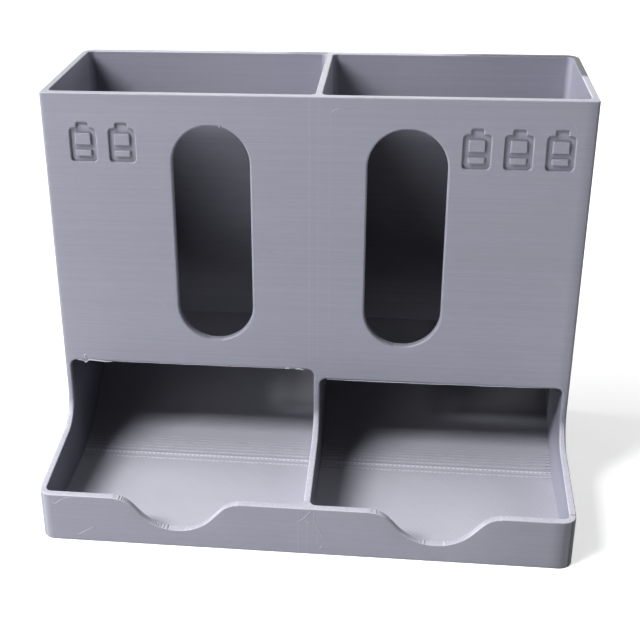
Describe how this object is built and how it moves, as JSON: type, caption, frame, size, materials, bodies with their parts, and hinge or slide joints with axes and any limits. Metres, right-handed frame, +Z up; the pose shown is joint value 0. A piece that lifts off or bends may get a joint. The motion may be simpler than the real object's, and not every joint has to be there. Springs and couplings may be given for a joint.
{
  "type": "battery dispenser",
  "caption": "Printed counter-top dispenser with two open-topped hoppers, sight windows, curved ramps and open front trays with finger scoops for small round cells.",
  "frame": {"origin": "centre of the underside of the floor, on the surface the case stands on", "axes": "+X to the right along the front, +Y from the trays towards the back wall, +Z up"},
  "size_m": [0.114, 0.067, 0.092],
  "materials": {
    "printed_plastic": "matte grey printed plastic with fine horizontal layer lines"
  },
  "bodies": {
    "root": {"base_floor": "printed_plastic", "back_wall": "printed_plastic", "left_side_wall": "printed_plastic", "right_side_wall": "printed_plastic", "divider_wall": "printed_plastic", "left_front_panel": "printed_plastic", "right_front_panel": "printed_plastic", "left_tray_lip": "printed_plastic", "right_tray_lip": "printed_plastic", "left_ramp": "printed_plastic", "right_ramp": "printed_plastic"}
  },
  "joints": []
}
